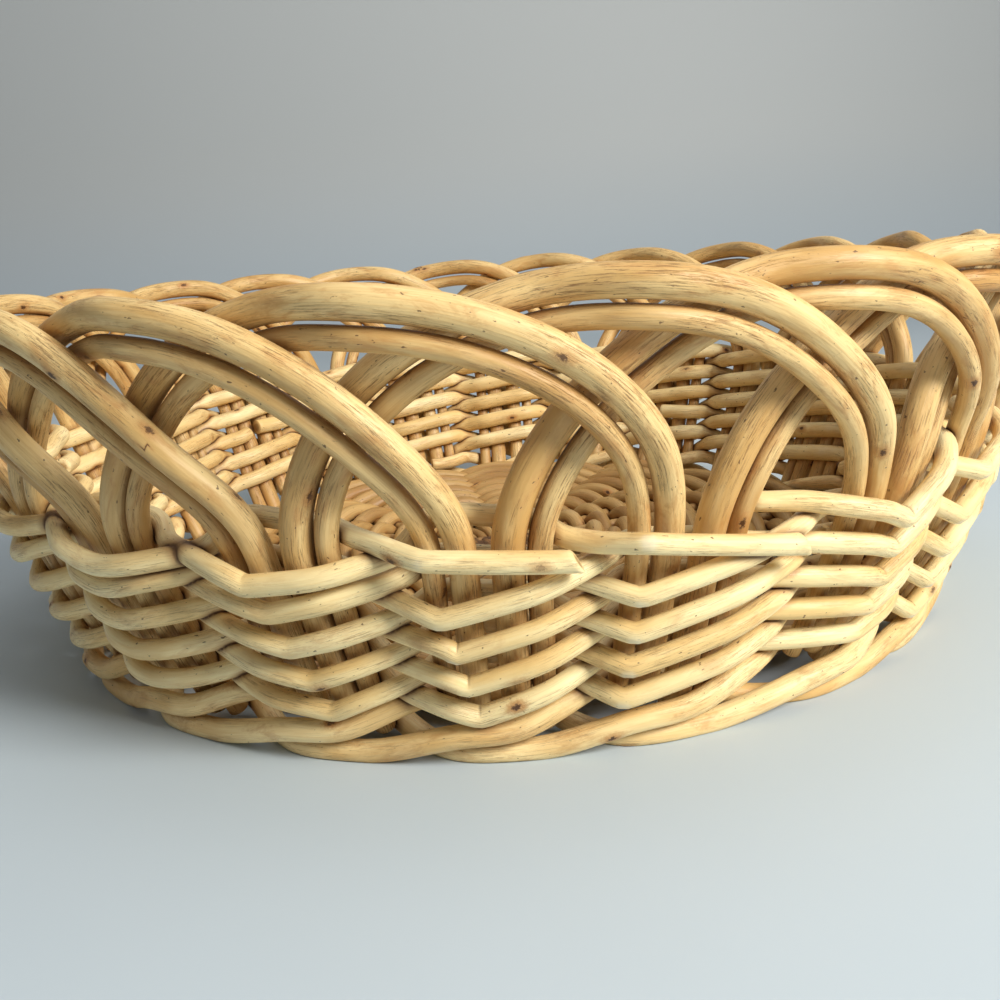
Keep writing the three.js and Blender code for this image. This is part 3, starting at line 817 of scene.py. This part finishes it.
def rod_object(rod, material):
    start_ring, start_middle = end_cap(rod, True)
    end_ring, end_middle = end_cap(rod, False)
    rings = np.concatenate([start_ring[None], rod.rings, end_ring[None]])
    vertices = np.concatenate([rings.reshape(-1, 3), [start_middle], [end_middle]])
    faces = rod_faces(*rings.shape[:2])
    mesh = bpy.data.meshes.new(rod.name)
    mesh.from_pydata((vertices * MM).tolist(), [], faces)
    mesh.polygons.foreach_set("use_smooth", np.ones(len(faces), bool))
    store_values(mesh, rod)
    mesh.materials.append(material)
    mesh.update()
    piece = bpy.data.objects.new(rod.name, mesh)
    bpy.context.scene.collection.objects.link(piece)
    return piece


# Materials.

def rgb(red, green, blue):
    """A colour written as it looks on screen, as the linear colour that the shader takes."""
    def linear(value):
        value /= 255
        return value / 12.92 if value <= 0.04045 else ((value + 0.055) / 1.055) ** 2.4
    return (linear(red), linear(green), linear(blue), 1.0)


FIBRE_COLOUR = rgb(132, 94, 52)
SPECK_COLOUR = rgb(84, 54, 30)
EYE_COLOUR = rgb(78, 48, 26)
# Warm tan stain mixed with painted shade, on rods near other rods.
NEAR_TAN_AND_SHADE_COLOUR = rgb(160, 110, 56)
# Painted shade, dark brown, where rods touch and on the insides of kinks.
CREVICE_SHADE_COLOUR = rgb(74, 44, 20)
# Pale wear with a painted highlight, on the outside of kinks.
WORN_AND_HIGHLIGHT_COLOUR = rgb(250, 240, 208)
STAIN_COLOUR = rgb(192, 138, 78)
CUT_END_COLOURS = (rgb(214, 184, 128), rgb(136, 96, 54))

# Each finish: its colours, and how strongly its stains, fibres and worn kinks with their painted highlight
# show.
LOOKS = {
    "thick": {
        "light": rgb(240, 210, 148), "deep": rgb(206, 164, 98), "stain": STAIN_COLOUR,
        "stains": 0.65, "fibres": 0.8, "worn_and_highlight": 0.5,
    },
    "thin": {
        "light": rgb(232, 200, 138), "deep": rgb(196, 152, 88), "stain": STAIN_COLOUR,
        "stains": 0.65, "fibres": 0.8, "worn_and_highlight": 0.5,
    },
    "weaver": {
        "light": rgb(252, 233, 178), "deep": rgb(234, 200, 134), "stain": STAIN_COLOUR,
        "stains": 0.35, "fibres": 0.5, "worn_and_highlight": 0.7,
    },
    "foot": {
        "light": rgb(252, 226, 166), "deep": rgb(226, 184, 116), "stain": rgb(190, 132, 72),
        "stains": 0.5, "fibres": 0.45, "worn_and_highlight": 0.6,
    },
    # The floor's colours are darker than the wall rods', as painted shade for the basket's shaded inside.
    "floor": {
        "light": rgb(200, 164, 104), "deep": rgb(162, 122, 68), "stain": STAIN_COLOUR,
        "stains": 0.4, "fibres": 0.5, "worn_and_highlight": 0.1,
    },
}

# Noises laid along a rod: how fast they change across it and along it, then detail, roughness and
# distortion where they aren't the usual ones.
TAN_NOISE = (0.10, 0.02, 3.0, 0.6)
STAIN_NOISE = (0.2, 0.06, 5.0, 0.7, 0.6)
GRAIN_NOISE = (2.2, 0.05, 4.0, 0.6)
DASH_NOISE = (3.0, 0.14, 4.0, 0.75)
FIELD_NOISE = (0.16, 0.03, 2.0)
SPECK_NOISE = (0.9, 0.5, 2.0, 0.5)
POLISH_NOISE = (0.7, 0.1, 3.0)
WAVE_NOISE = (0.45, 0.12, 2.0)

# Noises that change as fast in every direction: how fast, then detail and roughness.
RAGGED_NOISE = (1.3, 4.0, 0.7)
CUT_END_NOISE = (1.2, 3.0)
STAGE_NOISE = (6.0, 4.0)

# From which value a mark starts to show to that at which it shows in full. An eye and its halo fade out
# from the first to the second.
TAN_SHOWS = (0.36, 0.66)
STAIN_SHOWS = (0.48, 0.68)
GRAIN_SHOWS = (0.42, 0.7)
DASH_SHOWS = (0.51, 0.63)
FIELD_SHOWS = (0.36, 0.58)
SPECK_SHOWS = (0.70, 0.75)
STRONG_KNOT = (0.4, 0.7)
EYE_FADES = (0.5, 1.15)
HALO_FADES = (0.8, 3.2)
# Nearness at which the warm tan with painted shade, then the dark painted shade of touching rods, show.
NEAR_SHOWS = (0.3, 0.95)
TOUCHING_SHOWS = (0.74, 0.96)
# Bends at which a kink's pale wear with painted highlight shows.
WORN_AND_HIGHLIGHT_SHOWS = (0.08, 0.2)
# Bends at which the painted shade inside a kink shows.
CREASE_SHOWS = (0.1, 0.22)
CUT_SHOWS = (0.1, 0.6)

# How strongly marks show, and how far a rod's own tint shifts it to tan.
TINT_SHIFT = 0.34
GRAIN_STRENGTH = 0.42
SPECK_STRENGTH = 0.8
EYE_STRENGTH = 0.95
# How strongly the warm tan with painted shade near rods, and the painted shade where they touch, show.
NEAR_STRENGTH = 0.75
TOUCHING_STRENGTH = 0.9
# How strongly the painted shade inside kinks shows.
CREASE_STRENGTH = 0.55
STAGE_CLOUDS = 0.08

# An eye's size along and round the rod, and how ragged its edge is.
EYE_LENGTH = 1.5
EYE_WIDTH = 0.85
EYE_RAGGEDNESS = 2.6

# The skin's roughness, and the relief of its waves, grain, fibres and eyes.
SMOOTHEST = 0.36
POLISH_SPREAD = 0.2
DULL_MARKS = 0.2
WAVE_RELIEF = 1.8
GRAIN_RELIEF = 0.8
FIBRE_RELIEF = 0.7
EYE_RELIEF = 1.1
BUMP_STRENGTH = 0.6
BUMP_DEPTH = 0.25


class Nodes:
    """Short calls for the nodes of one material."""

    def __init__(self, material):
        self.tree = material.node_tree

    def add(self, kind, inputs=(), **settings):
        node = self.tree.nodes.new(kind)
        for key, value in settings.items():
            setattr(node, key, value)
        for name, value in dict(inputs).items():
            self.feed(node.inputs[name], value)
        return node

    def feed(self, socket, value):
        if isinstance(value, bpy.types.NodeSocket):
            self.tree.links.new(value, socket)
        else:
            socket.default_value = value

    def attribute(self, name, output="Fac"):
        return self.add("ShaderNodeAttribute", attribute_name=name).outputs[output]

    def math(self, operation, a, b=0.0):
        node = self.add("ShaderNodeMath", operation=operation)
        self.feed(node.inputs[0], a)
        self.feed(node.inputs[1], b)
        return node.outputs[0]

    def plus(self, a, b):
        return self.math("ADD", a, b)

    def minus(self, a, b):
        return self.math("SUBTRACT", a, b)

    def times(self, a, b):
        return self.math("MULTIPLY", a, b)

    def noise(self, vector, scale, detail=3.0, roughness=0.55, distortion=0.0):
        node = self.add(
            "ShaderNodeTexNoise",
            {"Vector": vector, "Scale": scale, "Detail": detail, "Roughness": roughness,
             "Distortion": distortion},
        )
        return node.outputs["Fac"]

    def laid_noise(self, straight, across, lengthways, *texture):
        """Noise that changes at one rate across a rod and at another along it."""
        node = self.add("ShaderNodeVectorMath", operation="MULTIPLY")
        self.feed(node.inputs[0], straight)
        self.feed(node.inputs[1], (across, across, lengthways))
        return self.noise(node.outputs[0], 1.0, *texture)

    def between(self, value, low, high):
        """0 below low, 1 above high, smooth between."""
        node = self.add("ShaderNodeMapRange", interpolation_type="SMOOTHSTEP")
        self.feed(node.inputs["Value"], value)
        self.feed(node.inputs["From Min"], low)
        self.feed(node.inputs["From Max"], high)
        return node.outputs["Result"]

    def mix(self, share, a, b):
        node = self.add("ShaderNodeMix", data_type="RGBA")
        self.feed(node.inputs[0], share)
        self.feed(node.inputs[6], a)
        self.feed(node.inputs[7], b)
        return node.outputs[2]


def rod_tone(nodes, straight, look):
    """Creamy wood that shifts slowly to tan along and round the rod, and from rod to rod."""
    tan = nodes.between(nodes.laid_noise(straight, *TAN_NOISE), *TAN_SHOWS)
    tan = nodes.plus(tan, nodes.times(nodes.attribute("tint"), TINT_SHIFT))
    tan = nodes.math("MINIMUM", nodes.math("MAXIMUM", tan, 0.0), 1.0)
    colour = nodes.mix(tan, look["light"], look["deep"])
    stains = nodes.between(nodes.laid_noise(straight, *STAIN_NOISE), *STAIN_SHOWS)
    return nodes.mix(nodes.times(stains, look["stains"]), colour, look["stain"])


def rod_fibres(nodes, straight, colour, look):
    """Long grain all over, and fields of short dark fibres and specks."""
    grain = nodes.laid_noise(straight, *GRAIN_NOISE)
    grain_share = nodes.times(nodes.between(grain, *GRAIN_SHOWS), GRAIN_STRENGTH)
    colour = nodes.mix(grain_share, colour, look["deep"])
    dashes = nodes.between(nodes.laid_noise(straight, *DASH_NOISE), *DASH_SHOWS)
    fields = nodes.between(nodes.laid_noise(straight, *FIELD_NOISE), *FIELD_SHOWS)
    fibres = nodes.times(dashes, nodes.times(fields, look["fibres"]))
    colour = nodes.mix(fibres, colour, FIBRE_COLOUR)
    specks = nodes.between(nodes.laid_noise(straight, *SPECK_NOISE), *SPECK_SHOWS)
    return nodes.mix(nodes.times(specks, SPECK_STRENGTH), colour, SPECK_COLOUR), grain, fibres


def rod_eyes(nodes, straight, colour, look):
    """The small brown eyes left by side shoots, each a ragged pit in a tan halo."""
    place = nodes.add("ShaderNodeSeparateXYZ", {"Vector": nodes.attribute("knot", "Vector")})
    along = nodes.math("DIVIDE", place.outputs["X"], EYE_LENGTH)
    around = nodes.math("DIVIDE", place.outputs["Y"], EYE_WIDTH)
    squares = nodes.plus(nodes.times(along, along), nodes.times(around, around))
    ragged = nodes.minus(nodes.noise(straight, *RAGGED_NOISE), 0.5)
    away = nodes.plus(nodes.math("SQRT", squares), nodes.times(ragged, EYE_RAGGEDNESS))
    halo = nodes.minus(1.0, nodes.between(away, *HALO_FADES))
    colour = nodes.mix(nodes.times(halo, place.outputs["Z"]), colour, look["stain"])
    strong = nodes.between(place.outputs["Z"], *STRONG_KNOT)
    eye = nodes.times(nodes.minus(1.0, nodes.between(away, *EYE_FADES)), strong)
    return nodes.mix(nodes.times(eye, EYE_STRENGTH), colour, EYE_COLOUR), eye


def rod_wear_and_painted_light(nodes, straight, colour, look):
    """Warm tan and painted shade where rods come near, dark painted shade where they touch, pale worn kinks
    with a painted highlight and painted shade inside, and cut ends.
    """
    contact = nodes.attribute("contact")
    # Warm tan with painted shade, near other rods.
    near = nodes.times(nodes.between(contact, *NEAR_SHOWS), NEAR_STRENGTH)
    colour = nodes.mix(near, colour, NEAR_TAN_AND_SHADE_COLOUR)
    # Dark painted shade where rods touch.
    touching_shade = nodes.times(nodes.between(contact, *TOUCHING_SHOWS), TOUCHING_STRENGTH)
    colour = nodes.mix(touching_shade, colour, CREVICE_SHADE_COLOUR)
    bend = nodes.attribute("bend")
    # Pale wear with a painted highlight on the outside of bends.
    worn_and_highlight = nodes.times(nodes.between(bend, *WORN_AND_HIGHLIGHT_SHOWS), look["worn_and_highlight"])
    colour = nodes.mix(worn_and_highlight, colour, WORN_AND_HIGHLIGHT_COLOUR)
    # Painted shade on the inside of bends.
    crease_shade = nodes.between(nodes.times(bend, -1.0), *CREASE_SHOWS)
    colour = nodes.mix(nodes.times(crease_shade, CREASE_STRENGTH), colour, CREVICE_SHADE_COLOUR)
    wood_end = nodes.mix(nodes.noise(straight, *CUT_END_NOISE), *CUT_END_COLOURS)
    return nodes.mix(nodes.between(nodes.attribute("cut"), *CUT_SHOWS), colour, wood_end), touching_shade


def peeled_rod_material(name, look):
    """Peeled rod, laid out along the rod so that its grain, fibres and eyes follow every bend."""
    material = bpy.data.materials.new(name)
    material.use_nodes = True
    nodes = Nodes(material)
    shader = material.node_tree.nodes["Principled BSDF"]
    straight = nodes.attribute("straight", "Vector")
    colour = rod_tone(nodes, straight, look)
    colour, grain, fibres = rod_fibres(nodes, straight, colour, look)
    colour, eye = rod_eyes(nodes, straight, colour, look)
    colour, touching_shade = rod_wear_and_painted_light(nodes, straight, colour, look)
    nodes.feed(shader.inputs["Base Color"], colour)
    polish = nodes.laid_noise(straight, *POLISH_NOISE)
    rough = nodes.plus(SMOOTHEST, nodes.times(polish, POLISH_SPREAD))
    rough = nodes.plus(rough, nodes.times(nodes.plus(touching_shade, fibres), DULL_MARKS))
    nodes.feed(shader.inputs["Roughness"], rough)
    relief = nodes.times(nodes.laid_noise(straight, *WAVE_NOISE), WAVE_RELIEF)
    relief = nodes.plus(relief, nodes.times(grain, GRAIN_RELIEF))
    relief = nodes.minus(relief, nodes.times(fibres, FIBRE_RELIEF))
    relief = nodes.minus(relief, nodes.times(eye, EYE_RELIEF))
    bump = nodes.add(
        "ShaderNodeBump",
        {"Height": relief, "Strength": BUMP_STRENGTH, "Distance": BUMP_DEPTH * MM},
    )
    nodes.feed(shader.inputs["Normal"], bump.outputs["Normal"])
    return material


# Camera, lights and stage.

CAMERA_PLACE = (2.49, -422.34, 136.43)
CAMERA_YAW = 0.0060
CAMERA_PITCH = 0.244
CAMERA_ROLL = 0.069
CAMERA_LENS = 36.07
CAMERA_SENSOR = 36.0
CAMERA_NEAREST = 0.01
CAMERA_FURTHEST = 20

LIGHTS = (
    {"name": "window", "place": (0.85, -0.8, 0.8), "target": (0, 0, 0.7), "size": (0.5, 0.5),
     "power": 26.0, "colour": (1.0, 0.965, 0.905)},
    {"name": "ceiling", "place": (0.1, 0.1, 1.7), "target": (0, 0, 0), "size": (1.4, 1.4),
     "power": 7.8, "colour": (1.0, 0.97, 0.925)},
    {"name": "fill", "place": (-1.2, -1.0, 0.7), "target": (0, 0, 0.05), "size": (1.2, 1.0),
     "power": 0.9, "colour": (0.95, 0.98, 1.0)},
)
WORLD_COLOUR = (0.95, 0.97, 1.0, 1.0)
WORLD_STRENGTH = 0.16

FLOOR_COLOUR = rgb(192, 206, 216)
BACKDROP_COLOUR = rgb(202, 206, 206)
STAGE_ROUGHNESS = 0.55
STAGE_FRONT = -3.0
STAGE_HALF_WIDTH = 4.0
BACKDROP_DISTANCE = 1.1
BACKDROP_BEND = 0.35
BACKDROP_BEND_STEPS = 12
BACKDROP_TOP = 3.0


def add_camera():
    camera = bpy.data.cameras.new("camera")
    camera.lens = CAMERA_LENS
    camera.sensor_width = CAMERA_SENSOR
    camera.clip_start = CAMERA_NEAREST
    camera.clip_end = CAMERA_FURTHEST
    right = Vector((math.cos(CAMERA_YAW), math.sin(CAMERA_YAW), 0))
    level = Vector((-math.sin(CAMERA_YAW), math.cos(CAMERA_YAW), 0))
    up = Vector((0, 0, 1))
    forward = math.cos(CAMERA_PITCH) * level - math.sin(CAMERA_PITCH) * up
    top = math.sin(CAMERA_PITCH) * level + math.cos(CAMERA_PITCH) * up
    rolled_right = math.cos(CAMERA_ROLL) * right - math.sin(CAMERA_ROLL) * top
    rolled_top = math.sin(CAMERA_ROLL) * right + math.cos(CAMERA_ROLL) * top
    turn = Matrix((rolled_right, rolled_top, -forward)).transposed().to_4x4()
    piece = bpy.data.objects.new("camera", camera)
    piece.matrix_world = Matrix.Translation(Vector(CAMERA_PLACE) * MM) @ turn
    bpy.context.scene.collection.objects.link(piece)
    bpy.context.scene.camera = piece


def add_area_light(name, place, target, size, power, colour):
    light = bpy.data.lights.new(name, "AREA")
    light.shape = "RECTANGLE"
    light.size, light.size_y = size
    light.energy = power
    light.color = colour
    piece = bpy.data.objects.new(name, light)
    piece.location = place
    aim = Vector(target) - Vector(place)
    piece.rotation_mode = "QUATERNION"
    piece.rotation_quaternion = aim.to_track_quat("-Z", "Y")
    bpy.context.scene.collection.objects.link(piece)


def add_lights():
    """A window to the front right, a weak ceiling, a little fill from the left and a dim world."""
    for light in LIGHTS:
        add_area_light(**light)
    world = bpy.data.worlds.new("world")
    bpy.context.scene.world = world
    world.use_nodes = True
    background = world.node_tree.nodes["Background"]
    background.inputs["Color"].default_value = WORLD_COLOUR
    background.inputs["Strength"].default_value = WORLD_STRENGTH


def stage_material():
    """A pale surface with a faint unevenness, which goes from the floor's colour to the backdrop's."""
    material = bpy.data.materials.new("pale_surface")
    material.use_nodes = True
    nodes = Nodes(material)
    shader = material.node_tree.nodes["Principled BSDF"]
    place = nodes.add("ShaderNodeTexCoord").outputs["Object"]
    height = nodes.add("ShaderNodeSeparateXYZ", {"Vector": place}).outputs["Z"]
    colour = nodes.mix(nodes.between(height, 0.0, BACKDROP_BEND), FLOOR_COLOUR, BACKDROP_COLOUR)
    clouds = nodes.times(nodes.noise(place, *STAGE_NOISE), STAGE_CLOUDS)
    nodes.feed(shader.inputs["Base Color"], nodes.mix(clouds, colour, BACKDROP_COLOUR))
    nodes.feed(shader.inputs["Roughness"], STAGE_ROUGHNESS)
    return material


def add_stage():
    """A floor that curves up into a backdrop behind the basket."""
    profile = [(STAGE_FRONT, 0.0), (BACKDROP_DISTANCE, 0.0)]
    for step in range(1, BACKDROP_BEND_STEPS + 1):
        turn = math.pi / 2 * step / BACKDROP_BEND_STEPS
        away = BACKDROP_DISTANCE + BACKDROP_BEND * math.sin(turn)
        profile.append((away, BACKDROP_BEND * (1 - math.cos(turn))))
    profile.append((BACKDROP_DISTANCE + BACKDROP_BEND, BACKDROP_TOP))
    vertices = [(x, y, z) for y, z in profile for x in (-STAGE_HALF_WIDTH, STAGE_HALF_WIDTH)]
    faces = [(2 * i, 2 * i + 1, 2 * i + 3, 2 * i + 2) for i in range(len(profile) - 1)]
    mesh = bpy.data.meshes.new("floor_and_backdrop")
    mesh.from_pydata(vertices, [], faces)
    mesh.polygons.foreach_set("use_smooth", np.ones(len(faces), bool))
    mesh.materials.append(stage_material())
    stage = bpy.data.objects.new("floor_and_backdrop", mesh)
    bpy.context.scene.collection.objects.link(stage)


def build_basket():
    rods = arch_rods() + wall_rods() + foot_rods() + floor_weavers() + base_sticks()
    for rod in rods:
        shape_rings(rod)
    shade_contacts(rods)
    materials = {finish: peeled_rod_material(f"peeled_rod_{finish}", look) for finish, look in LOOKS.items()}
    for rod in rods:
        piece = rod_object(rod, materials[rod.finish])
        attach(piece, "root")
        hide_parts(rod.cad_node)


add_camera()
add_lights()
add_stage()
build_basket()
bpy.context.scene.view_settings.view_transform = "Standard"
